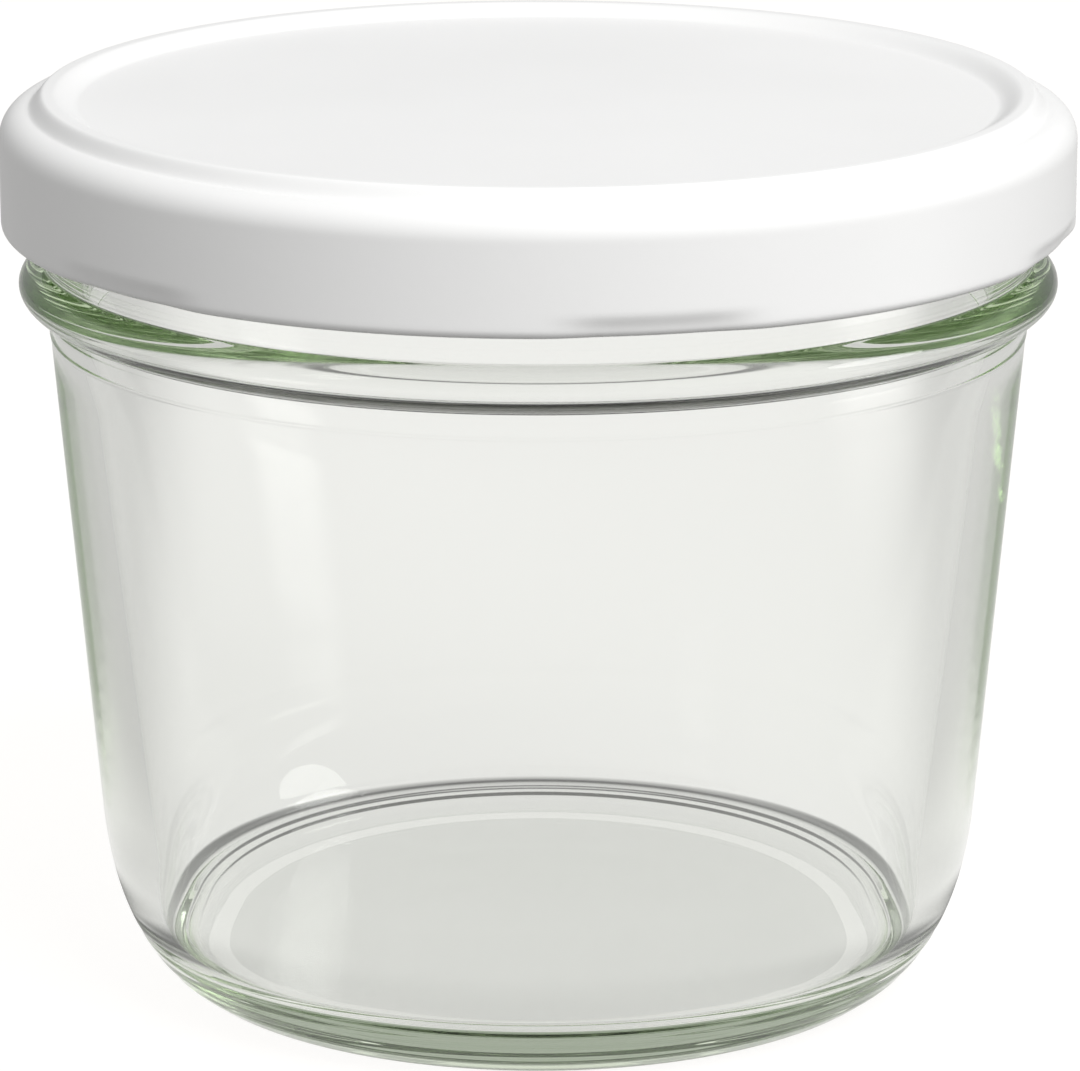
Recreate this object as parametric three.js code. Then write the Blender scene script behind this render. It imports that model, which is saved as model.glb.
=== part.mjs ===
// Jam jar: a tapered tumbler of clear pressed glass, closed by a twist-off lid of white lacquered steel.
// Millimetres, +Z up, front towards -Y. The origin is the middle of the base, where the jar stands.
import * as THREE from 'three';

// Sides of every round surface, a multiple of the number of threads and lugs
const SIDES = 60;

// Straight pieces that stand for each curve of the profiles
const HOLLOW_STEPS = 5;
const HEEL_STEPS = 9;
const BEAD_STEPS = 8;
const RIM_STEPS = 3;
const MOUTH_STEPS = 3;
const INNER_HEEL_STEPS = 6;
const FLOOR_STEPS = 3;
const CURL_STEPS = 6;
const SKIRT_STEPS = 3;
const OUTER_SKIN_STEPS = 5;
const INNER_SKIN_STEPS = 3;

// Glass, outside: base, heel and tapered wall
const BEARING_INNER_RADIUS = 25.0;
const BEARING_OUTER_RADIUS = 26.7;
const PUSH_UP = 0.4;
const HEEL_HEIGHT = 16.9;
const WALL_FOOT_RADIUS = 34.0;
const WALL_TAPER = 0.0896;

// Glass, outside: the rounded bead that runs round the jar below the lid
const BEAD_CENTRE_RADIUS = 37.2;
const BEAD_MIDDLE_Z = 57.25;
const BEAD_REACH = 4.0;
const BEAD_HALF_HEIGHT = 2.2;

// Glass, outside: neck and rim
const NECK_RADIUS = 39.3;
const JAR_HEIGHT = 71.4;
const RIM_OUTER_ROUND = 1.2;
const RIM_INNER_ROUND = 0.9;

// Glass, outside: the short thread ridges that the lid's lugs run under
const THREAD_COUNT = 6;
const THREAD_REACH = 1.2;
const THREAD_HALF_WIDTH = 1.3;
const THREAD_SWEEP = THREE.MathUtils.degToRad(46);
const THREAD_HIGH_Z = 67.4;
const THREAD_LOW_Z = 65.1;
const THREAD_LEAD = THREE.MathUtils.degToRad(14);
const THREAD_ROW_STEP = 0.9;
const THREAD_END_SHARE = 0.15;

// Glass, inside: the mouth is nearly straight, and below it the wall thickens towards the foot
const MOUTH_RADIUS = 36.8;
const MOUTH_TAPER = 0.02;
const BORE_FOOT_RADIUS = 30.03;
const BORE_TAPER = 0.114;
const BORE_BEND = 4.0;

// Glass, inside: level floor, a ledge that rises gently round it, and the curve up to the wall
const FLOOR_RADIUS = 27.2;
const FLOOR_Z = 5.0;
const FLOOR_CROWN = 0.2;
const FLOOR_LEDGE_RADIUS = 29.6;
const FLOOR_LEDGE_Z = 5.5;
const INNER_HEEL_BEND_Z = 7.0;
const INNER_HEEL_TOP_Z = 13.0;

// Lid: sheet, skirt and the curl rolled inwards at its lower edge
const SHEET = 0.35;
const LID_RADIUS = 42.5;
const LID_LOW_Z = 61.65;
const CURL_RADIUS = 0.75;
const SHOULDER_RADIUS = 2.2;

// Lid: recessed panel, raised crest and the lower ledge between the crest and the shoulder
const PANEL_Z = 71.35;
const CREST_Z = 72.35;
const LEDGE_Z = 71.15;
const PANEL_RADIUS = 36.2;
const CREST_INNER_RADIUS = 38.3;
const CREST_OUTER_RADIUS = 39.0;

// Lid: lugs, made by pressing the curl inwards at equal steps round the skirt
const LUG_COUNT = 6;
const LUG_DEPTH = 1.0;
const LUG_TOP_Z = 64.8;
const LUG_FULL_Z = 62.6;
const LUG_FLAT_HALF_ANGLE = THREE.MathUtils.degToRad(5);
const LUG_END_HALF_ANGLE = THREE.MathUtils.degToRad(12);
const FIRST_LUG_ANGLE = THREE.MathUtils.degToRad(12);

const HALF_TURN = Math.PI;
const QUARTER_TURN = Math.PI / 2;

// Points of an elliptical arc in the profile plane, where x is the radius and y is the height.
function arc(centreRadius, centreZ, reach, rise, fromAngle, toAngle, steps) {
  const clockwise = toAngle < fromAngle;
  const curve = new THREE.EllipseCurve(centreRadius, centreZ, reach, rise, fromAngle, toAngle, clockwise);
  return curve.getPoints(steps);
}

// A quarter-like curve that leaves a level floor and ends tangent to a leaning wall, from the floor upwards.
// The wall's radius is footRadius + taper * height.
function heel(floorRadius, floorZ, height, footRadius, taper, steps) {
  const centreZ = floorZ + height;
  const support = footRadius + taper * centreZ - floorRadius;
  const reach = Math.sqrt(support * support - taper * taper * height * height);
  const tangentAngle = -Math.atan2(taper * height, reach);
  return arc(floorRadius, centreZ, reach, height, -QUARTER_TURN, tangentAngle, steps);
}

// A curve from start to end that leaves and arrives along the lines through a corner point.
function bend(start, corner, end, steps) {
  return new THREE.QuadraticBezierCurve(start, corner, end).getPoints(steps);
}

// A shallow dome from the axis out to its edge, level at both.
function dome(edgeRadius, edgeZ, rise, steps) {
  const points = [];
  for (let i = 0; i <= steps; i += 1) {
    const share = i / steps;
    const lift = (1 - share * share) * (1 - share * share);
    points.push(new THREE.Vector2(edgeRadius * share, edgeZ + rise * lift));
  }
  return points;
}

// Angle from the nearest of several features set at equal steps round the axis.
function angleFromNearest(angle, firstAngle, count) {
  const pitch = 2 * HALF_TURN / count;
  const turned = THREE.MathUtils.euclideanModulo(angle - firstAngle + pitch / 2, pitch);
  return turned - pitch / 2;
}

// A closed profile turned about the Z axis, with shift(radius, z, angle) added to the radius of each point.
// The angle is measured from the front, positive to the right as seen from there.
function revolve(profile, shift) {
  const geometry = new THREE.LatheGeometry(profile, SIDES);
  geometry.rotateX(QUARTER_TURN);
  const position = geometry.attributes.position;
  for (let i = 0; i < position.count; i += 1) {
    const x = position.getX(i);
    const y = position.getY(i);
    const z = position.getZ(i);
    const radius = Math.hypot(x, y);
    if (radius > 0) {
      const stretch = 1 + shift(radius, z, Math.atan2(x, -y)) / radius;
      position.setXY(i, x * stretch, y * stretch);
    }
  }
  geometry.computeVertexNormals();
  return geometry;
}

// Height of the thread ridges above the neck. Each ridge falls from its right end to its left end.
function threadShift(radius, z, angle) {
  if (radius < NECK_RADIUS - RIM_OUTER_ROUND) return 0;
  const fromMiddle = angleFromNearest(angle, FIRST_LUG_ANGLE + THREAD_LEAD, THREAD_COUNT);
  const along = 0.5 + fromMiddle / THREAD_SWEEP;
  const ridgeZ = THREE.MathUtils.lerp(THREAD_LOW_Z, THREAD_HIGH_Z, along);
  const across = Math.min(1, Math.abs(z - ridgeZ) / THREAD_HALF_WIDTH);
  const ends = THREE.MathUtils.smoothstep(0.5 - Math.abs(along - 0.5), 0, THREAD_END_SHARE);
  return THREAD_REACH * ends * (1 - across * across);
}

// Depth that the lugs press into the lower part of the skirt.
function lugShift(radius, z, angle) {
  const fromLug = Math.abs(angleFromNearest(angle, FIRST_LUG_ANGLE, LUG_COUNT));
  const around = 1 - THREE.MathUtils.smoothstep(fromLug, LUG_FLAT_HALF_ANGLE, LUG_END_HALF_ANGLE);
  const down = 1 - THREE.MathUtils.smoothstep(z, LUG_FULL_Z, LUG_TOP_Z);
  return -LUG_DEPTH * around * down;
}

function wallRadius(z) {
  return WALL_FOOT_RADIUS + WALL_TAPER * z;
}

// Points of the inside wall at a height: in the tapered bore, and in the mouth above it.
function borePoint(z) {
  return new THREE.Vector2(BORE_FOOT_RADIUS + BORE_TAPER * z, z);
}

function mouthPoint(z) {
  return new THREE.Vector2(MOUTH_RADIUS - MOUTH_TAPER * (JAR_HEIGHT - z), z);
}

// The jar's outside, from the middle of the hollow under the base up to the rim.
function jarOutside() {
  const pushUp = dome(BEARING_INNER_RADIUS, 0, PUSH_UP, HOLLOW_STEPS);
  const wall = heel(BEARING_OUTER_RADIUS, 0, HEEL_HEIGHT, WALL_FOOT_RADIUS, WALL_TAPER, HEEL_STEPS);
  const beadFootZ = BEAD_MIDDLE_Z - BEAD_HALF_HEIGHT;
  const beadFrom = -Math.acos((wallRadius(beadFootZ) - BEAD_CENTRE_RADIUS) / BEAD_REACH);
  const beadTo = Math.acos((NECK_RADIUS - BEAD_CENTRE_RADIUS) / BEAD_REACH);
  const centre = [BEAD_CENTRE_RADIUS, BEAD_MIDDLE_Z];
  const bead = arc(...centre, BEAD_REACH, BEAD_HALF_HEIGHT, beadFrom, beadTo, BEAD_STEPS);
  const neck = [];
  const threadTopZ = THREAD_HIGH_Z + THREAD_HALF_WIDTH;
  for (let z = THREAD_LOW_Z - THREAD_HALF_WIDTH; z < threadTopZ; z += THREAD_ROW_STEP) {
    neck.push(new THREE.Vector2(NECK_RADIUS, z));
  }
  const rimRadius = NECK_RADIUS - RIM_OUTER_ROUND;
  const rimZ = JAR_HEIGHT - RIM_OUTER_ROUND;
  const rim = arc(rimRadius, rimZ, RIM_OUTER_ROUND, RIM_OUTER_ROUND, 0, QUARTER_TURN, RIM_STEPS);
  return [...pushUp, ...wall, ...bead, ...neck, ...rim];
}

// The jar's inside, from the rim down to the middle of the floor.
function jarInside() {
  const rimZ = JAR_HEIGHT - RIM_INNER_ROUND;
  const rimRadius = mouthPoint(rimZ).x + RIM_INNER_ROUND;
  const rim = arc(rimRadius, rimZ, RIM_INNER_ROUND, RIM_INNER_ROUND, QUARTER_TURN, HALF_TURN, RIM_STEPS);
  const meetZ = (mouthPoint(0).x - BORE_FOOT_RADIUS) / (BORE_TAPER - MOUTH_TAPER);
  const mouthFoot = mouthPoint(meetZ + BORE_BEND);
  const mouth = bend(mouthFoot, borePoint(meetZ), borePoint(meetZ - BORE_BEND), MOUTH_STEPS);
  const ledge = new THREE.Vector2(FLOOR_LEDGE_RADIUS, FLOOR_LEDGE_Z);
  const corner = borePoint(INNER_HEEL_BEND_Z);
  const innerHeel = bend(borePoint(INNER_HEEL_TOP_Z), corner, ledge, INNER_HEEL_STEPS);
  const floor = dome(FLOOR_RADIUS, FLOOR_Z, FLOOR_CROWN, FLOOR_STEPS);
  return [...rim, ...mouth, ...innerHeel, ...floor.reverse()];
}

// Height of the lid's upper skin, inside the shoulder.
function lidHeight(radius) {
  const crest = THREE.MathUtils.smoothstep(radius, PANEL_RADIUS, CREST_INNER_RADIUS);
  const ledge = THREE.MathUtils.smoothstep(radius, CREST_OUTER_RADIUS, LID_RADIUS - SHOULDER_RADIUS);
  return PANEL_Z + (CREST_Z - PANEL_Z) * crest + (LEDGE_Z - CREST_Z) * ledge;
}

// One skin of the lid, from the axis out to the straight skirt, set inwards from the upper skin by depth.
function lidSkin(depth, steps) {
  const ledgeRadius = LID_RADIUS - SHOULDER_RADIUS;
  const ramps = [[PANEL_RADIUS, CREST_INNER_RADIUS], [CREST_OUTER_RADIUS, ledgeRadius]];
  const points = [new THREE.Vector2(0, PANEL_Z - depth)];
  for (const [from, to] of ramps) {
    for (let i = 0; i <= steps; i += 1) {
      const radius = THREE.MathUtils.lerp(from, to, i / steps);
      points.push(new THREE.Vector2(radius, lidHeight(radius) - depth));
    }
  }
  const shoulder = SHOULDER_RADIUS - depth;
  const shoulderZ = LEDGE_Z - SHOULDER_RADIUS;
  points.push(...arc(ledgeRadius, shoulderZ, shoulder, shoulder, QUARTER_TURN, 0, steps).slice(1));
  return points;
}

// The lid's closed profile: under the panel, down inside the skirt, round the curl, and up over the outside.
function lidProfile() {
  const underside = lidSkin(SHEET, INNER_SKIN_STEPS);
  const curlZ = LID_LOW_Z + CURL_RADIUS;
  const innerRoot = new THREE.Vector2(LID_RADIUS - SHEET, curlZ + CURL_RADIUS);
  const curl = arc(LID_RADIUS - CURL_RADIUS, curlZ, CURL_RADIUS, CURL_RADIUS, -HALF_TURN, 0, CURL_STEPS);
  const skirt = [];
  for (let i = 1; i <= SKIRT_STEPS; i += 1) {
    skirt.push(new THREE.Vector2(LID_RADIUS, THREE.MathUtils.lerp(curlZ, LUG_TOP_Z, i / SKIRT_STEPS)));
  }
  const innerSkirt = new THREE.Vector2(LID_RADIUS - SHEET, LUG_TOP_Z);
  const upperSkin = lidSkin(0, OUTER_SKIN_STEPS);
  return [...underside, innerSkirt, innerRoot, ...curl, ...skirt, ...upperSkin.reverse()];
}

function glassJar() {
  const glass = new THREE.MeshStandardMaterial({ color: 0xe8efe4, roughness: 0.03, metalness: 0 });
  glass.transparent = true;
  glass.opacity = 0.35;
  const mesh = new THREE.Mesh(revolve([...jarOutside(), ...jarInside()], threadShift), glass);
  mesh.name = 'glass_jar';
  return mesh;
}

function twistLid() {
  const lacquer = new THREE.MeshStandardMaterial({ color: 0xf1f1ef, roughness: 0.35, metalness: 0 });
  const mesh = new THREE.Mesh(revolve(lidProfile(), lugShift), lacquer);
  mesh.name = 'twist_lid';
  return mesh;
}

const jamJar = new THREE.Group();
jamJar.add(glassJar(), twistLid());

export default jamJar;
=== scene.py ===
# %% [markdown]
# # A jam jar of clear glass with a white twist-off lid
#
# The jar is a tapered tumbler of pressed glass: a thick base, a large rounded heel, a leaning wall and
# a fat bead under the neck. A lid of white lacquered sheet steel closes it. Both are turned shapes, so
# a profile and an axis say nearly everything about them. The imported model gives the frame: what is made
# here sits exactly where the plain solids are and takes their place in the picture.

# %% Load the frame
import math

import bpy
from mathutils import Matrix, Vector


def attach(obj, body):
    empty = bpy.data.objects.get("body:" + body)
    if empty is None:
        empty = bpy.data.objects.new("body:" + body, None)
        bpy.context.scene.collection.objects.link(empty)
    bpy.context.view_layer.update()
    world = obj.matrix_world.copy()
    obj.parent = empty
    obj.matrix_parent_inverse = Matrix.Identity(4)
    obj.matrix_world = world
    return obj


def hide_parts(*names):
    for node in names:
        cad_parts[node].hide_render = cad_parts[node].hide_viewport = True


MM = 0.001
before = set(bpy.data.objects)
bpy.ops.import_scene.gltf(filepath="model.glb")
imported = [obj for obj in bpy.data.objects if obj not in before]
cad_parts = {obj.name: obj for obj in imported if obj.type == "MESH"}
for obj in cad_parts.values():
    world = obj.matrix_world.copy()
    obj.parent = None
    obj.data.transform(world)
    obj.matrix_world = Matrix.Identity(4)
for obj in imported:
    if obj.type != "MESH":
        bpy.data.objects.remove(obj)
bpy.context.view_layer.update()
print("nodes in the frame:", sorted(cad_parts))

# %% [markdown]
# ## The camera
#
# The picture was taken with a long lens, from half a metre away and a little above the lid. The height,
# the distance, the tilt and the focal length were worked out together from the ellipses that the jar's
# rings draw. A picture that is 1080 pixels wide turns the focal length in pixels into a lens in
# millimetres. The jar's axis stands a hair left of the picture's middle, and a small sideways shift of
# the lens gives that.

# %% Camera
PICTURE_WIDTH = 1080
FOCAL_PIXELS = 6439
AXIS_PIXELS_LEFT = 1.7
SENSOR_WIDTH = 36.0
CAMERA_DISTANCE = 500.3 * MM
CAMERA_HEIGHT = 168.2 * MM
CAMERA_TILT = math.radians(14.83)


def make_camera():
    lens = bpy.data.cameras.new("camera")
    lens.sensor_fit = "HORIZONTAL"
    lens.sensor_width = SENSOR_WIDTH
    lens.lens = FOCAL_PIXELS / PICTURE_WIDTH * SENSOR_WIDTH
    lens.shift_x = AXIS_PIXELS_LEFT / PICTURE_WIDTH
    lens.clip_start = 10 * MM
    camera = bpy.data.objects.new("camera", lens)
    camera.location = (0, -CAMERA_DISTANCE, CAMERA_HEIGHT)
    camera.rotation_euler = (math.pi / 2 - CAMERA_TILT, 0, 0)
    bpy.context.scene.collection.objects.link(camera)
    bpy.context.scene.camera = camera
    return camera


print("lens in mm:", round(make_camera().data.lens, 1))

# %% [markdown]
# ## Drawing a profile
#
# A profile is a list of points, each a radius and a height. Straight stretches need two points and
# round ones are arcs of an ellipse. The heel is a special arc: it leaves the floor level and has to run
# into the leaning wall without a corner, because glass shows every corner as a bright or dark line. So
# the arc's reach is worked out from the wall instead of being given. Where two surfaces meet in a
# hollow, a short bend rounds the corner.

# %% Profile helpers


def arc(centre_radius, centre_z, reach, rise, from_degrees, to_degrees, steps):
    points = []
    for step in range(steps + 1):
        turn = math.radians(from_degrees + (to_degrees - from_degrees) * step / steps)
        points.append((centre_radius + reach * math.cos(turn), centre_z + rise * math.sin(turn)))
    return points


def straight(start, end, steps):
    points = []
    for step in range(steps + 1):
        share = step / steps
        points.append((start[0] + (end[0] - start[0]) * share, start[1] + (end[1] - start[1]) * share))
    return points


def bend(start, corner, end, steps):
    points = []
    for step in range(steps + 1):
        share = step / steps
        weights = ((1 - share) ** 2, 2 * share * (1 - share), share ** 2)
        points.append(tuple(
            weights[0] * start[axis] + weights[1] * corner[axis] + weights[2] * end[axis] for axis in (0, 1)
        ))
    return points


def heel(floor_radius, floor_z, height, foot_radius, taper, steps):
    centre_z = floor_z + height
    support = foot_radius + taper * centre_z - floor_radius
    reach = math.sqrt(support ** 2 - (taper * height) ** 2)
    tangent = -math.degrees(math.atan2(taper * height, reach))
    return arc(floor_radius, centre_z, reach, height, -90, tangent, steps)


def smooth_step(value, low, high):
    share = min(1, max(0, (value - low) / (high - low)))
    return share * share * (3 - 2 * share)


# %% [markdown]
# ## A lathe made of nodes
#
# Both pieces are turned, so one Geometry Nodes tree makes them. It takes a profile, lays out a flat
# grid with one row for each point of the profile and one column for each side, and rolls that grid
# round the axis. While it rolls, it can also push a patch of the surface in or out at equal steps round
# the axis. On the glass those patches are the thread ridges, and on the lid they are the lugs pressed
# into the rim.

# %% Node helpers


def add_node(tree, kind, **settings):
    node = tree.nodes.new(kind)
    for name, value in settings.items():
        setattr(node, name, value)
    return node


def plug(tree, value, socket):
    if isinstance(value, bpy.types.NodeSocket):
        tree.links.new(value, socket)
    else:
        socket.default_value = value


def maths(tree, operation, *values):
    node = add_node(tree, "ShaderNodeMath", operation=operation)
    for value, socket in zip(values, node.inputs):
        plug(tree, value, socket)
    return node.outputs[0]


def fade(tree, value, full, none):
    """1 below full, 0 above none, and smooth between them."""
    node = add_node(tree, "ShaderNodeMapRange", interpolation_type="SMOOTHSTEP")
    for share, socket in zip((value, full, none, 1.0, 0.0), node.inputs):
        plug(tree, share, socket)
    return node.outputs[0]


def node_inputs(tree, sockets):
    for name, kind in sockets.items():
        tree.interface.new_socket(name, in_out="INPUT", socket_type=kind)
    return tree.nodes.new("NodeGroupInput").outputs


# %% The lathe tree
LATHE_SOCKETS = {
    "Profile": "NodeSocketGeometry",
    "Sides": "NodeSocketInt",
    "Relief count": "NodeSocketInt",
    "First angle": "NodeSocketFloat",
    "Full half angle": "NodeSocketFloat",
    "End half angle": "NodeSocketFloat",
    "Middle height": "NodeSocketFloat",
    "Climb": "NodeSocketFloat",
    "Full half height": "NodeSocketFloat",
    "End half height": "NodeSocketFloat",
    "Depth": "NodeSocketFloat",
    "Least radius": "NodeSocketFloat",
    "Material": "NodeSocketMaterial",
}
WELD_DISTANCE = 0.0005 * MM


def profile_point(tree, given, row):
    sample = add_node(tree, "GeometryNodeSampleIndex", data_type="FLOAT_VECTOR", domain="POINT")
    tree.links.new(given["Profile"], sample.inputs["Geometry"])
    tree.links.new(tree.nodes.new("GeometryNodeInputPosition").outputs[0], sample.inputs["Value"])
    tree.links.new(row, sample.inputs["Index"])
    parts = tree.nodes.new("ShaderNodeSeparateXYZ")
    tree.links.new(sample.outputs[0], parts.inputs[0])
    return parts.outputs["X"], parts.outputs["Z"]


def relief(tree, given, angle, radius, height):
    half_pitch = maths(tree, "DIVIDE", math.pi, given["Relief count"])
    from_first = maths(tree, "SUBTRACT", angle, given["First angle"])
    off_middle = maths(tree, "WRAP", from_first, half_pitch, maths(tree, "MULTIPLY", half_pitch, -1.0))
    off_angle = maths(tree, "ABSOLUTE", off_middle)
    around = fade(tree, off_angle, given["Full half angle"], given["End half angle"])
    climb = maths(tree, "MULTIPLY", off_middle, given["Climb"])
    middle = maths(tree, "ADD", given["Middle height"], climb)
    off_height = maths(tree, "ABSOLUTE", maths(tree, "SUBTRACT", height, middle))
    across = fade(tree, off_height, given["Full half height"], given["End half height"])
    outside = maths(tree, "GREATER_THAN", radius, given["Least radius"])
    patch = maths(tree, "MULTIPLY", maths(tree, "MULTIPLY", around, across), outside)
    return maths(tree, "MULTIPLY", patch, given["Depth"])


def make_lathe_tree():
    tree = bpy.data.node_groups.new("turned_piece", "GeometryNodeTree")
    given = node_inputs(tree, LATHE_SOCKETS)
    tree.interface.new_socket("Piece", in_out="OUTPUT", socket_type="NodeSocketGeometry")
    count = add_node(tree, "GeometryNodeAttributeDomainSize", component="MESH")
    tree.links.new(given["Profile"], count.inputs[0])
    rows = count.outputs["Point Count"]
    grid = tree.nodes.new("GeometryNodeMeshGrid")
    tree.links.new(maths(tree, "ADD", given["Sides"], 1.0), grid.inputs["Vertices X"])
    tree.links.new(rows, grid.inputs["Vertices Y"])
    index = tree.nodes.new("GeometryNodeInputIndex").outputs[0]
    column = maths(tree, "FLOOR", maths(tree, "DIVIDE", maths(tree, "ADD", index, 0.5), rows))
    row = maths(tree, "SUBTRACT", index, maths(tree, "MULTIPLY", column, rows))
    angle = maths(tree, "MULTIPLY", maths(tree, "DIVIDE", column, given["Sides"]), 2 * math.pi)
    radius, height = profile_point(tree, given, row)
    reach = maths(tree, "ADD", radius, relief(tree, given, angle, radius, height))
    place = tree.nodes.new("ShaderNodeCombineXYZ")
    tree.links.new(maths(tree, "MULTIPLY", reach, maths(tree, "SINE", angle)), place.inputs["X"])
    toward_back = maths(tree, "MULTIPLY", maths(tree, "COSINE", angle), -1.0)
    tree.links.new(maths(tree, "MULTIPLY", reach, toward_back), place.inputs["Y"])
    tree.links.new(height, place.inputs["Z"])
    rolled = tree.nodes.new("GeometryNodeSetPosition")
    tree.links.new(grid.outputs["Mesh"], rolled.inputs["Geometry"])
    tree.links.new(place.outputs[0], rolled.inputs["Position"])
    welded = tree.nodes.new("GeometryNodeMergeByDistance")
    tree.links.new(rolled.outputs[0], welded.inputs["Geometry"])
    welded.inputs["Distance"].default_value = WELD_DISTANCE
    smooth = tree.nodes.new("GeometryNodeSetShadeSmooth")
    tree.links.new(welded.outputs[0], smooth.inputs["Geometry"])
    finish_tree(tree, smooth.outputs[0], given["Material"])
    return tree


def finish_tree(tree, geometry, material):
    realized = tree.nodes.new("GeometryNodeRealizeInstances")
    painted = tree.nodes.new("GeometryNodeSetMaterial")
    tree.links.new(geometry, realized.inputs[0])
    tree.links.new(realized.outputs[0], painted.inputs["Geometry"])
    tree.links.new(material, painted.inputs["Material"])
    tree.links.new(painted.outputs[0], tree.nodes.new("NodeGroupOutput").inputs[0])


lathe_tree = make_lathe_tree()
print("nodes in the lathe:", len(lathe_tree.nodes))

# %% Running a tree on a piece


def bake_modifiers(piece):
    """Turns what the modifiers make into the piece's own plain mesh."""
    graph = bpy.context.evaluated_depsgraph_get()
    mesh = bpy.data.meshes.new_from_object(piece.evaluated_get(graph))
    piece.modifiers.clear()
    piece.data = mesh
    mesh.name = piece.name
    return piece


def run_tree(name, points, tree, values):
    edges = [(index, index + 1) for index in range(len(points) - 1)]
    mesh = bpy.data.meshes.new(name)
    mesh.from_pydata([(radius, 0, z) for radius, z in points], edges, [])
    piece = bpy.data.objects.new(name, mesh)
    bpy.context.scene.collection.objects.link(piece)
    modifier = piece.modifiers.new(tree.name, "NODES")
    modifier.node_group = tree
    for socket in tree.interface.items_tree:
        if socket.in_out == "INPUT" and socket.name in values:
            modifier[socket.identifier] = values[socket.name]
    bake_modifiers(piece)
    print(name, "has", len(piece.data.polygons), "faces")
    return piece


# %% [markdown]
# ## Marks of handling
#
# No real surface is perfectly even. Lacquer and glass both carry faint smears that change how sharply
# they reflect, and both have a slow swell left by the tool or the mould that made them. One shader
# group gives both: a roughness that wanders round a plain value, and a height for a Bump node. Each
# material then sets how strong and how large these are. The glass takes only the roughness.

# %% Handling marks group
MARK_SOCKETS = {
    "Coordinates": "NodeSocketVector",
    "Plain roughness": "NodeSocketFloat",
    "Roughness spread": "NodeSocketFloat",
    "Smears per metre": "NodeSocketFloat",
    "Swells per metre": "NodeSocketFloat",
}


def make_marks_group():
    tree = bpy.data.node_groups.new("handling_marks", "ShaderNodeTree")
    given = node_inputs(tree, MARK_SOCKETS)
    for name in ("Roughness", "Height"):
        tree.interface.new_socket(name, in_out="OUTPUT", socket_type="NodeSocketFloat")
    smears = tree.nodes.new("ShaderNodeTexNoise")
    tree.links.new(given["Coordinates"], smears.inputs["Vector"])
    tree.links.new(given["Smears per metre"], smears.inputs["Scale"])
    smears.inputs["Detail"].default_value = 2
    off_middle = maths(tree, "SUBTRACT", smears.outputs[0], 0.5)
    wander = maths(tree, "MULTIPLY", off_middle, given["Roughness spread"])
    swell = tree.nodes.new("ShaderNodeTexNoise")
    tree.links.new(given["Coordinates"], swell.inputs["Vector"])
    tree.links.new(given["Swells per metre"], swell.inputs["Scale"])
    swell.inputs["Detail"].default_value = 0
    out = tree.nodes.new("NodeGroupOutput")
    tree.links.new(maths(tree, "ADD", given["Plain roughness"], wander), out.inputs["Roughness"])
    tree.links.new(swell.outputs[0], out.inputs["Height"])
    return tree


marks_group = make_marks_group()
print("sockets of the marks group:", [item.name for item in marks_group.interface.items_tree])


def new_material(name):
    material = bpy.data.materials.new(name)
    material.use_nodes = True
    return material, material.node_tree, material.node_tree.nodes["Principled BSDF"]


def handling_marks(tree, plain_roughness, spread, smears, swells):
    """Places the group in a material and gives it the piece's own coordinates."""
    marks = add_node(tree, "ShaderNodeGroup", node_tree=marks_group)
    place = tree.nodes.new("ShaderNodeTexCoord")
    tree.links.new(place.outputs["Object"], marks.inputs["Coordinates"])
    marks.inputs["Plain roughness"].default_value = plain_roughness
    marks.inputs["Roughness spread"].default_value = spread
    marks.inputs["Smears per metre"].default_value = smears
    marks.inputs["Swells per metre"].default_value = swells
    return marks, place.outputs["Object"]


# %% [markdown]
# ## Glass
#
# Jar glass is clear, but not colourless. Traces of iron make it green, and the green shows only where
# the light has gone through a lot of glass, as in the base and the bead. A green base colour would tint
# every surface alike, so the colour is left white and an absorption volume inside the closed mesh does
# the tinting by distance.

# %% Glass material
GLASS_INDEX = 1.52
GLASS_TINT = (0.655, 0.785, 0.53, 1)
GLASS_DENSITY = 15.5
GLASS_ROUGHNESS = 0.012
GLASS_ROUGHNESS_SPREAD = 0.02
GLASS_SMEARS = 60
GLASS_SWELLS = 45


def make_glass():
    material, tree, shader = new_material("clear_glass")
    shader.inputs["Base Color"].default_value = (1, 1, 1, 1)
    shader.inputs["IOR"].default_value = GLASS_INDEX
    shader.inputs["Transmission Weight"].default_value = 1
    marks, _ = handling_marks(tree, GLASS_ROUGHNESS, GLASS_ROUGHNESS_SPREAD, GLASS_SMEARS, GLASS_SWELLS)
    tree.links.new(marks.outputs["Roughness"], shader.inputs["Roughness"])
    depth = tree.nodes.new("ShaderNodeVolumeAbsorption")
    depth.inputs["Color"].default_value = GLASS_TINT
    depth.inputs["Density"].default_value = GLASS_DENSITY
    tree.links.new(depth.outputs[0], tree.nodes["Material Output"].inputs["Volume"])
    return material


glass = make_glass()
print("made", glass.name, "with index", GLASS_INDEX)

# %% [markdown]
# ## White lacquer
#
# The lid is tinned steel under a baked white lacquer. It is satin: it spreads reflections wide, so the
# lid shows soft bands of light and no mirror images. The white isn't quite even, and under a strong
# lens the lacquer has the fine skin that painters call orange peel. Inside, such lids carry a duller
# and darker coat, and here it is painted near black: painted shade for the shaded inside of the lid. It
# can't be seen directly, but the bead and the neck bend this painted shade into thin dark lines, so the
# mesh marks where the inside is.

# %% Lacquer material
LACQUER_BRIGHT = (0.9, 0.9, 0.895, 1)
LACQUER_DULL = (0.86, 0.86, 0.855, 1)
# Painted shade: the near-black colour of the lid's shaded inside
LACQUER_INSIDE_SHADE = (0.1, 0.1, 0.085, 1)
LACQUER_ROUGHNESS = 0.38
LACQUER_ROUGHNESS_SPREAD = 0.12
LACQUER_SMEARS = 90
PEELS_PER_METRE = 900
PEEL_STRENGTH = 0.06
PEEL_DEPTH = 0.05 * MM
CLOUDS_PER_METRE = 40


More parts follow.
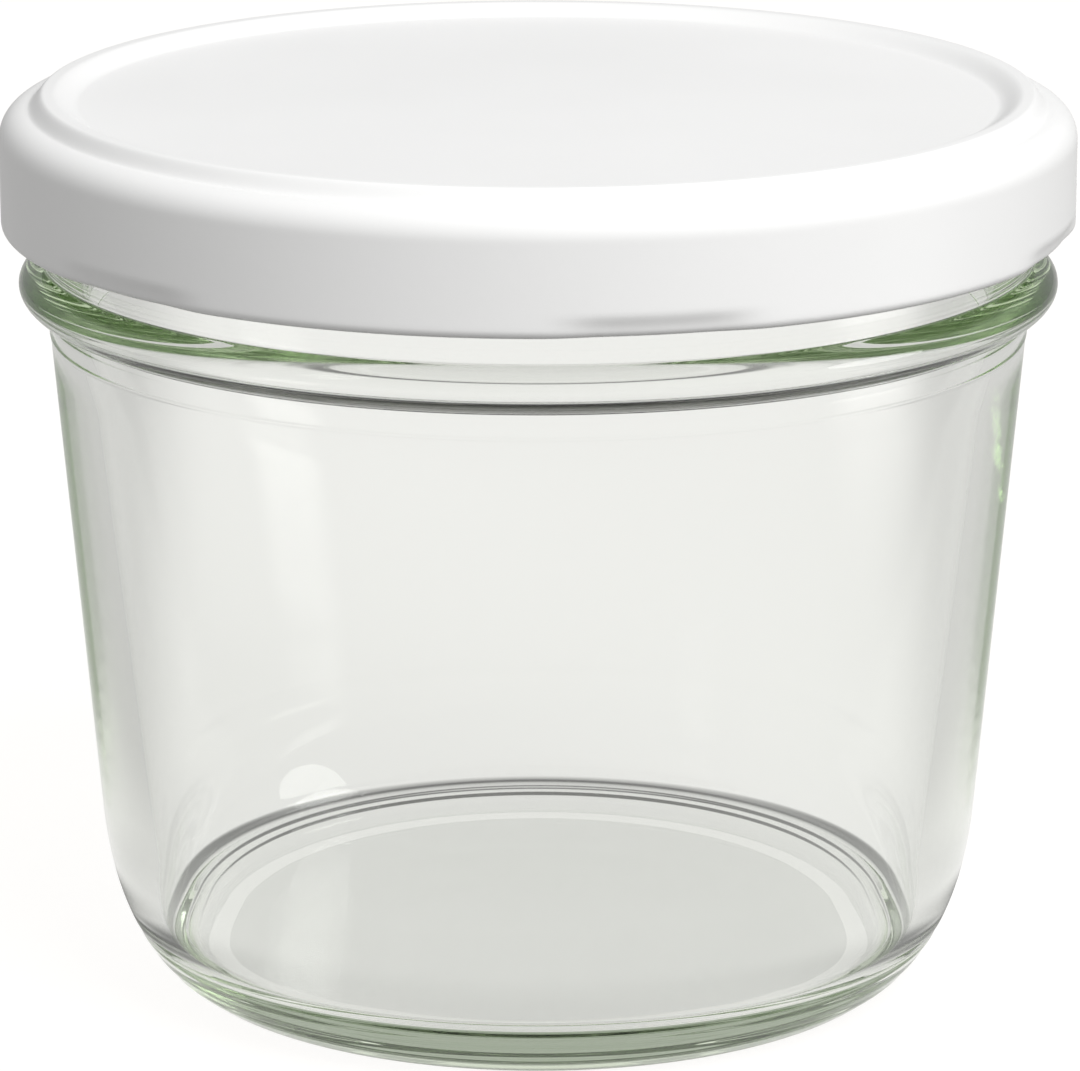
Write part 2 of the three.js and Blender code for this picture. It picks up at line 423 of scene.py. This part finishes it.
def make_lacquer():
    material, tree, shader = new_material("white_lacquer")
    spread = LACQUER_ROUGHNESS_SPREAD
    marks, place = handling_marks(tree, LACQUER_ROUGHNESS, spread, LACQUER_SMEARS, PEELS_PER_METRE)
    tree.links.new(marks.outputs["Roughness"], shader.inputs["Roughness"])
    bump = tree.nodes.new("ShaderNodeBump")
    bump.inputs["Strength"].default_value = PEEL_STRENGTH
    bump.inputs["Distance"].default_value = PEEL_DEPTH
    tree.links.new(marks.outputs["Height"], bump.inputs["Height"])
    tree.links.new(bump.outputs["Normal"], shader.inputs["Normal"])
    clouds = tree.nodes.new("ShaderNodeTexNoise")
    clouds.inputs["Scale"].default_value = CLOUDS_PER_METRE
    clouds.inputs["Detail"].default_value = 2
    tree.links.new(place, clouds.inputs["Vector"])
    tone = tree.nodes.new("ShaderNodeValToRGB")
    tone.color_ramp.elements[0].color = LACQUER_DULL
    tone.color_ramp.elements[1].color = LACQUER_BRIGHT
    tree.links.new(clouds.outputs[0], tone.inputs[0])
    # Painted shade: where the mask is 1, inside the lid, the lacquer turns near black
    inside_shade_mask = add_node(tree, "ShaderNodeAttribute", attribute_name="inside_shade_mask")
    inside_shade_mix = add_node(tree, "ShaderNodeMixRGB")
    tree.links.new(inside_shade_mask.outputs["Fac"], inside_shade_mix.inputs["Fac"])
    tree.links.new(tone.outputs["Color"], inside_shade_mix.inputs["Color1"])
    inside_shade_mix.inputs["Color2"].default_value = LACQUER_INSIDE_SHADE
    tree.links.new(inside_shade_mix.outputs["Color"], shader.inputs["Base Color"])
    return material


lacquer = make_lacquer()
print("made", lacquer.name)

# %% [markdown]
# ## The glass jar
#
# The outside runs from the hollow under the base over the flat ring that the jar stands on, round the
# heel, up the wall, over the bead and up the neck to the rim. The inside comes down again to a thick
# floor. A thin raised line under the bead is where two parts of the mould met. Shallow ripples on the
# heel and two fine steps round the floor are what the bends of the base turn into thin dark and bright
# rings.

# %% Jar profile
BEARING_INNER_RADIUS = 25.0 * MM
BEARING_OUTER_RADIUS = 26.7 * MM
PUSH_UP = 0.4 * MM
HEEL_HEIGHT = 16.9 * MM
WALL_FOOT_RADIUS = 34.0 * MM
WALL_TAPER = 0.0896
BEAD_CENTRE_RADIUS = 37.2 * MM
BEAD_MIDDLE_Z = 57.25 * MM
BEAD_REACH = 4.0 * MM
BEAD_HALF_HEIGHT = 2.2 * MM
NECK_RADIUS = 39.3 * MM
JAR_HEIGHT = 71.4 * MM
RIM_OUTER_ROUND = 1.2 * MM
RIM_INNER_ROUND = 0.9 * MM
MOUTH_RADIUS = 36.8 * MM
MOUTH_TAPER = 0.02
BORE_FOOT_RADIUS = 30.03 * MM
BORE_TAPER = 0.114
BORE_BEND = 4.0 * MM
FLOOR_RADIUS = 27.2 * MM
FLOOR_Z = 5.0 * MM
FLOOR_CROWN = 0.2 * MM
FLOOR_LEDGE_RADIUS = 29.6 * MM
FLOOR_LEDGE_Z = 5.5 * MM
LEDGE_STEPS = (27.5 * MM, 28.5 * MM)
LEDGE_STEP_HALF = 0.12 * MM
CORNER_ROUND = 0.35 * MM
INNER_HEEL_BEND_Z = 7.0 * MM
INNER_HEEL_TOP_Z = 13.0 * MM
HOLLOW_ROUND = 0.15 * MM
HOLLOW_INSET = 3
RIPPLE_COUNT = 4
RIPPLE_LOW_Z = 0.4 * MM
RIPPLE_HIGH_Z = 5.6 * MM
RIPPLE_DEPTH = 0.06 * MM
SEAM_Z = 53.3 * MM
SEAM_HALF_WIDTH = 0.25 * MM
SEAM_REACH = 0.05 * MM


def wall_radius(z):
    return WALL_FOOT_RADIUS + WALL_TAPER * z


def bore_radius(z):
    return BORE_FOOT_RADIUS + BORE_TAPER * z


def mouth_radius(z):
    return MOUTH_RADIUS - MOUTH_TAPER * (JAR_HEIGHT - z)


def bead_with_hollows():
    foot_z = BEAD_MIDDLE_Z - BEAD_HALF_HEIGHT
    low = math.degrees(math.acos((wall_radius(foot_z) - BEAD_CENTRE_RADIUS) / BEAD_REACH))
    high = math.degrees(math.acos((NECK_RADIUS - BEAD_CENTRE_RADIUS) / BEAD_REACH))
    oval = (BEAD_CENTRE_RADIUS, BEAD_MIDDLE_Z, BEAD_REACH, BEAD_HALF_HEIGHT)
    bead = arc(*oval, HOLLOW_INSET - low, high - HOLLOW_INSET, 36)
    low_corner = arc(*oval, -low, -low, 1)[0]
    high_corner = arc(*oval, high, high, 1)[0]
    below_z = low_corner[1] - HOLLOW_ROUND
    below = bend((wall_radius(below_z), below_z), low_corner, bead[0], 8)
    above = bend(bead[-1], high_corner, (NECK_RADIUS, high_corner[1] + HOLLOW_ROUND), 8)
    return below + bead[1:-1] + above


def mould_seam():
    points = []
    for step in range(9):
        off = (step / 4 - 1) * SEAM_HALF_WIDTH
        lift = SEAM_REACH * (1 + math.cos(math.pi * off / SEAM_HALF_WIDTH)) / 2
        points.append((wall_radius(SEAM_Z + off) + lift, SEAM_Z + off))
    return points


def heel_with_ripples():
    smooth = heel(BEARING_OUTER_RADIUS, 0, HEEL_HEIGHT, WALL_FOOT_RADIUS, WALL_TAPER, 100)
    points = []
    for radius, z in smooth:
        share = min(1, max(0, (z - RIPPLE_LOW_Z) / (RIPPLE_HIGH_Z - RIPPLE_LOW_Z)))
        depth = RIPPLE_DEPTH * (1 - math.cos(2 * math.pi * RIPPLE_COUNT * share)) / 2
        points.append((radius - depth, z))
    return points


def dome(edge_radius, edge_z, rise, steps):
    points = []
    for step in range(steps + 1):
        share = step / steps
        points.append((edge_radius * share, edge_z + rise * (1 - share ** 2) ** 2))
    return points


def ledge_z(radius):
    rise = (FLOOR_LEDGE_Z - FLOOR_Z) / len(LEDGE_STEPS)
    lift = 0
    for step in LEDGE_STEPS:
        lift += rise * smooth_step(radius, step - LEDGE_STEP_HALF, step + LEDGE_STEP_HALF)
    return FLOOR_Z + lift


def floor_ledge():
    points = []
    end = FLOOR_LEDGE_RADIUS - CORNER_ROUND
    for radius, _ in straight((FLOOR_RADIUS, 0), (end, 0), 44):
        points.append((radius, ledge_z(radius)))
    return points


def inner_heel():
    corner = (bore_radius(INNER_HEEL_BEND_Z), INNER_HEEL_BEND_Z)
    top = (bore_radius(INNER_HEEL_TOP_Z), INNER_HEEL_TOP_Z)
    curve = bend((FLOOR_LEDGE_RADIUS, FLOOR_LEDGE_Z), corner, top, 32)
    rounded = bend((FLOOR_LEDGE_RADIUS - CORNER_ROUND, FLOOR_LEDGE_Z), curve[0], curve[2], 6)
    return rounded + curve[3:]


def bore_to_mouth():
    rise = BORE_TAPER - MOUTH_TAPER
    meet_z = (MOUTH_RADIUS - MOUTH_TAPER * JAR_HEIGHT - BORE_FOOT_RADIUS) / rise
    low_z = meet_z - BORE_BEND
    high_z = meet_z + BORE_BEND
    corner = (bore_radius(meet_z), meet_z)
    return bend((bore_radius(low_z), low_z), corner, (mouth_radius(high_z), high_z), 10)


def jar_profile():
    under = dome(BEARING_INNER_RADIUS, 0, PUSH_UP, 24)
    bearing = straight((BEARING_INNER_RADIUS, 0), (BEARING_OUTER_RADIUS, 0), 6)
    outer_heel = heel_with_ripples()
    seam = mould_seam()
    wall = straight(outer_heel[-1], seam[0], 14)
    bead = bead_with_hollows()
    neck_top = (NECK_RADIUS, JAR_HEIGHT - RIM_OUTER_ROUND)
    neck = straight(bead[-1], neck_top, 36)
    outer_rim_radius = NECK_RADIUS - RIM_OUTER_ROUND
    outer_rim = arc(outer_rim_radius, neck_top[1], RIM_OUTER_ROUND, RIM_OUTER_ROUND, 0, 90, 8)
    inner_rim_z = JAR_HEIGHT - RIM_INNER_ROUND
    inner_rim_radius = mouth_radius(inner_rim_z) + RIM_INNER_ROUND
    inner_rim = arc(inner_rim_radius, inner_rim_z, RIM_INNER_ROUND, RIM_INNER_ROUND, 90, 180, 8)
    rising = inner_heel()
    shoulder = bore_to_mouth()
    mouth = straight(inner_rim[-1], shoulder[-1], 8)
    bore = straight(shoulder[0], rising[-1], 16)
    ledge = floor_ledge()
    floor = dome(FLOOR_RADIUS, FLOOR_Z, FLOOR_CROWN, 20)
    foot = under[:-1] + bearing + outer_heel[1:]
    outside = foot + wall[1:-1] + seam + bead + neck[1:-1] + outer_rim
    upper = inner_rim + mouth[1:-1] + shoulder[::-1] + bore[1:-1]
    return outside + upper + rising[::-1] + ledge[-2:0:-1] + floor[::-1]


# %% Jar piece
JAR_SIDES = 240
THREAD_COUNT = 6
LUG_ANGLE = math.radians(12)
THREAD_LEAD = math.radians(14)
THREAD_SWEEP = math.radians(46)
THREAD_HIGH_Z = 67.4 * MM
THREAD_LOW_Z = 65.1 * MM
THREAD_REACH = 1.2 * MM
THREAD_HALF_WIDTH = 1.3 * MM
THREAD_FULL_SHARE = 0.35

jar = run_tree("jar_glass", jar_profile(), lathe_tree, {
    "Sides": JAR_SIDES,
    "Relief count": THREAD_COUNT,
    "First angle": LUG_ANGLE + THREAD_LEAD,
    "Full half angle": THREAD_SWEEP * THREAD_FULL_SHARE,
    "End half angle": THREAD_SWEEP * 0.5,
    "Middle height": (THREAD_HIGH_Z + THREAD_LOW_Z) / 2,
    "Climb": (THREAD_HIGH_Z - THREAD_LOW_Z) / THREAD_SWEEP,
    "Full half height": 0.0,
    "End half height": THREAD_HALF_WIDTH,
    "Depth": THREAD_REACH,
    "Least radius": NECK_RADIUS - RIM_OUTER_ROUND,
    "Material": glass,
})
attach(jar, "root")
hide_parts("glass_jar")

# %% [markdown]
# ## The lid
#
# A press stamps the lid from one round of sheet. The middle is a flat panel, sunk a millimetre below a
# raised crest. Outside the crest a small ledge leads to the rounded shoulder and the upright skirt, and
# the skirt's lower edge is rolled into a curl. The height over the panel, crest and ledge is one
# formula of the radius, and the same formula, one sheet thickness lower, is the underside.

# %% Lid profile
SHEET = 0.35 * MM
LID_RADIUS = 42.5 * MM
LID_LOW_Z = 61.65 * MM
CURL_RADIUS = 0.75 * MM
SHOULDER_RADIUS = 2.2 * MM
PANEL_Z = 71.35 * MM
CREST_Z = 72.35 * MM
LEDGE_Z = 71.15 * MM
PANEL_RADIUS = 36.2 * MM
CREST_INNER_RADIUS = 38.3 * MM
CREST_OUTER_RADIUS = 39.0 * MM
LUG_TOP_Z = 63.6 * MM


def lid_height(radius):
    crest = smooth_step(radius, PANEL_RADIUS, CREST_INNER_RADIUS)
    ledge = smooth_step(radius, CREST_OUTER_RADIUS, LID_RADIUS - SHOULDER_RADIUS)
    return PANEL_Z + (CREST_Z - PANEL_Z) * crest + (LEDGE_Z - CREST_Z) * ledge


def lid_skin(depth):
    ledge_radius = LID_RADIUS - SHOULDER_RADIUS
    points = [(0, PANEL_Z - depth), (PANEL_RADIUS * 0.5, PANEL_Z - depth)]
    steps = 40
    for step in range(steps + 1):
        radius = PANEL_RADIUS + (ledge_radius - PANEL_RADIUS) * step / steps
        points.append((radius, lid_height(radius) - depth))
    round_off = SHOULDER_RADIUS - depth
    return points + arc(ledge_radius, LEDGE_Z - SHOULDER_RADIUS, round_off, round_off, 90, 0, 14)[1:]


def lid_profile():
    underside = lid_skin(SHEET)
    curl_z = LID_LOW_Z + CURL_RADIUS
    inner_root = (LID_RADIUS - SHEET, curl_z + CURL_RADIUS)
    inner_skirt = straight(underside[-1], inner_root, 10)
    curl = arc(LID_RADIUS - CURL_RADIUS, curl_z, CURL_RADIUS, CURL_RADIUS, -180, 0, 16)
    upper = lid_skin(0)[::-1]
    skirt = straight(curl[-1], upper[0], 24)
    return underside[:-1] + inner_skirt + curl + skirt[1:-1] + upper


# %% Lid piece
LID_SIDES = 240
LUG_COUNT = 6
LUG_DEPTH = 0.45 * MM
LUG_FULL_HEIGHT = 62.2 * MM
LUG_FULL_HALF_ANGLE = math.radians(5)
LUG_END_HALF_ANGLE = math.radians(12)

lid = run_tree("lid_lacquered", lid_profile(), lathe_tree, {
    "Sides": LID_SIDES,
    "Relief count": LUG_COUNT,
    "First angle": LUG_ANGLE,
    "Full half angle": LUG_FULL_HALF_ANGLE,
    "End half angle": LUG_END_HALF_ANGLE,
    "Middle height": LID_LOW_Z,
    "Climb": 0.0,
    "Full half height": LUG_FULL_HEIGHT - LID_LOW_Z,
    "End half height": LUG_TOP_Z - LID_LOW_Z,
    "Depth": -LUG_DEPTH,
    "Least radius": LID_RADIUS - 2 * CURL_RADIUS - SHEET,
    "Material": lacquer,
})


def in_lid(radius, z):
    if z < LUG_TOP_Z:
        return False
    if radius < LID_RADIUS - SHOULDER_RADIUS:
        return z < lid_height(radius) - SHEET / 2
    rise = max(0, z - LEDGE_Z + SHOULDER_RADIUS)
    reach = radius - LID_RADIUS + SHOULDER_RADIUS
    return math.hypot(reach, rise) < SHOULDER_RADIUS - SHEET / 2


# The mask of painted shade that the lacquer reads: 1 inside the lid and 0 outside
inside_shade_mask = lid.data.attributes.new("inside_shade_mask", "FLOAT", "POINT")
for vertex, mark in zip(lid.data.vertices, inside_shade_mask.data):
    mark.value = float(in_lid(math.hypot(vertex.co.x, vertex.co.y), vertex.co.z))
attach(lid, "root")
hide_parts("twist_lid")

# %% [markdown]
# ## The studio
#
# A white table, an even room and two soft lights: a key that models the lid, and a window that shows
# in mirrored and bent light alone. Glass has no shading of its own. What makes its edges read is that
# they bend in light from far to the sides and from close round the foot. So the table glows: plain
# white to the camera, but to every other ray it carries painted shade at both sides and in front, and a
# painted contact shadow in a ring round the foot. The sides draw the soft grey bands and the ring the
# fine dark lines. A painted pool of light on the right lights the heel.

# %% Floor
FLOOR_HALF = 3.0
FLOOR_GLOW = 0.95
FLOOR_BEHIND = 0.82
FLOOR_LEFT = 0.5
FLOOR_RIGHT = 0.55
FLOOR_WHITE = (0.12, 0.12, 0.12, 1)
FLOOR_TONE = (1, 0.99, 0.975, 1)
AISLE_HALF = 36 * MM
AISLE_FADE = 30 * MM
AISLE_SPREAD = 0.06
FRONT_EDGE = 15 * MM
FRONT_FADE = 25 * MM
# How much brighter the painted pool of light on the right is
PATCH_POWER = 1.2
SCATTERED_LOSS = 0.55
# Painted contact shadow: a ring round the foot where the table's glow is darker
CONTACT_RADIUS = 38.5 * MM
CONTACT_FULL = 1.5 * MM
CONTACT_NONE = 7.5 * MM
CONTACT_SHADE = 0.85
# Painted pool of light: a patch on the right where the table's glow is brighter
PATCH_ANGLE = math.radians(-80)
PATCH_DISTANCE = 300 * MM
PATCH_FULL_ANGLE = 0.1
PATCH_NONE_ANGLE = 0.28
PATCH_FULL_REACH = 100 * MM
PATCH_NONE_REACH = 180 * MM
SIDE_REACH = 100 * MM


def table_glow(tree):
    place = tree.nodes.new("ShaderNodeTexCoord")
    parts = tree.nodes.new("ShaderNodeSeparateXYZ")
    tree.links.new(place.outputs["Object"], parts.inputs[0])
    x, y = parts.outputs["X"], parts.outputs["Y"]
    # Painted light and shade: a bright aisle behind the jar, a dimmer glow at both sides and in front
    widening = maths(tree, "MULTIPLY", y, AISLE_SPREAD)
    off_axis = maths(tree, "SUBTRACT", maths(tree, "ABSOLUTE", x), widening)
    aisle = fade(tree, off_axis, AISLE_HALF, AISLE_HALF + AISLE_FADE)
    toward_camera = maths(tree, "MULTIPLY", y, -1.0)
    behind = fade(tree, toward_camera, FRONT_EDGE, FRONT_EDGE + FRONT_FADE)
    sides = add_node(tree, "ShaderNodeMapRange")
    for value, socket in zip((x, -SIDE_REACH, SIDE_REACH, FLOOR_LEFT, FLOOR_RIGHT), sides.inputs):
        plug(tree, value, socket)
    bright = maths(tree, "MULTIPLY", aisle, behind)
    level = add_node(tree, "ShaderNodeMapRange")
    for value, socket in zip((bright, 0.0, 1.0, sides.outputs[0], FLOOR_BEHIND), level.inputs):
        plug(tree, value, socket)
    # Painted pool of light: a bright patch on the table to the right
    angle = maths(tree, "ARCTAN2", maths(tree, "MULTIPLY", x, -1.0), toward_camera)
    off_angle = maths(tree, "ABSOLUTE", maths(tree, "SUBTRACT", angle, PATCH_ANGLE))
    squares = maths(tree, "ADD", maths(tree, "MULTIPLY", x, x), maths(tree, "MULTIPLY", y, y))
    distance = maths(tree, "SQRT", squares)
    off_distance = maths(tree, "ABSOLUTE", maths(tree, "SUBTRACT", distance, PATCH_DISTANCE))
    across = fade(tree, off_angle, PATCH_FULL_ANGLE, PATCH_NONE_ANGLE)
    along = fade(tree, off_distance, PATCH_FULL_REACH, PATCH_NONE_REACH)
    patch = maths(tree, "MULTIPLY", across, along)
    lit = maths(tree, "ADD", level.outputs[0], maths(tree, "MULTIPLY", patch, PATCH_POWER))
    # Painted contact shadow: a dark ring in the glow round the foot
    off_ring = maths(tree, "ABSOLUTE", maths(tree, "SUBTRACT", distance, CONTACT_RADIUS))
    contact_shadow = maths(tree, "MULTIPLY", fade(tree, off_ring, CONTACT_FULL, CONTACT_NONE), CONTACT_SHADE)
    return maths(tree, "MULTIPLY", lit, maths(tree, "SUBTRACT", 1.0, contact_shadow))


def make_floor():
    mesh = bpy.data.meshes.new("table_top")
    corners = [(-FLOOR_HALF, -FLOOR_HALF, 0), (FLOOR_HALF, -FLOOR_HALF, 0)]
    corners += [(FLOOR_HALF, FLOOR_HALF, 0), (-FLOOR_HALF, FLOOR_HALF, 0)]
    mesh.from_pydata(corners, [], [(0, 1, 2, 3)])
    floor = bpy.data.objects.new("table_top", mesh)
    bpy.context.scene.collection.objects.link(floor)
    material, tree, shader = new_material("white_table")
    material.cycles.emission_sampling = "NONE"
    shader.inputs["Base Color"].default_value = FLOOR_WHITE
    shader.inputs["Roughness"].default_value = 0.8
    shader.inputs["Specular IOR Level"].default_value = 0
    shader.inputs["Emission Color"].default_value = FLOOR_TONE
    # The table glows though it is no lamp: even white to the camera, painted light and shade to every other
    # ray
    ray = tree.nodes.new("ShaderNodeLightPath")
    glow = tree.nodes.new("ShaderNodeMapRange")
    levels = (ray.outputs["Is Camera Ray"], 0.0, 1.0, table_glow(tree), FLOOR_GLOW)
    for value, socket in zip(levels, glow.inputs):
        plug(tree, value, socket)
    # The glow is weaker to diffuse rays, so the table lights the lid less than it shows in the glass
    scattered = maths(tree, "MULTIPLY", ray.outputs["Is Diffuse Ray"], SCATTERED_LOSS)
    strength = maths(tree, "MULTIPLY", glow.outputs[0], maths(tree, "SUBTRACT", 1.0, scattered))
    tree.links.new(strength, shader.inputs["Emission Strength"])
    mesh.materials.append(material)
    return floor


print("made", make_floor().name)

# %% Room light
ROOM_GLOW = 0.5


def make_room():
    world = bpy.data.worlds.new("studio")
    world.use_nodes = True
    sky = world.node_tree.nodes["Background"]
    sky.inputs["Color"].default_value = (1, 1, 1, 1)
    sky.inputs["Strength"].default_value = ROOM_GLOW
    bpy.context.scene.world = world
    return world


print("made", make_room().name)

# %% Soft boxes
BOX_DISTANCE = 0.9


def make_soft_box(name, azimuth, height, width, tall, power):
    light = bpy.data.lights.new(name, "AREA")
    light.shape = "ELLIPSE"
    light.size = width
    light.size_y = tall
    light.energy = power
    box = bpy.data.objects.new(name, light)
    level = math.cos(height)
    way = Vector((math.sin(azimuth) * level, -math.cos(azimuth) * level, math.sin(height)))
    box.location = Vector((0, 0, JAR_HEIGHT / 2)) + way * BOX_DISTANCE
    box.rotation_euler = (-way).to_track_quat("-Z", "Y").to_euler()
    bpy.context.scene.collection.objects.link(box)
    return box


# The key lights the lid, and the glass neither mirrors nor bends it
key = make_soft_box("key", math.radians(37), math.radians(48), 0.6, 0.6, 7.0)
key.visible_glossy = False
key.visible_transmission = False

# The window is mirrored and bent, and adds no scattered light
window = make_soft_box("window", math.radians(82), math.radians(27), 0.38, 0.36, 1.15)
window.visible_diffuse = False
print("made", key.name, "and", window.name)

# %% [markdown]
# ## Colour and light paths
#
# The plain view keeps white paper white. Light that runs round inside the bead is mirrored many times
# before it leaves, so paths may be long, or the bead would turn black.

# %% Finish
LIGHT_BOUNCES = 128
NOISE_LIMIT = 0.1

scene = bpy.context.scene
scene.view_settings.view_transform = "Standard"
scene.cycles.max_bounces = LIGHT_BOUNCES
scene.cycles.transmission_bounces = LIGHT_BOUNCES
scene.cycles.glossy_bounces = LIGHT_BOUNCES
scene.cycles.use_denoising = True
scene.cycles.use_adaptive_sampling = True
scene.cycles.adaptive_threshold = NOISE_LIMIT
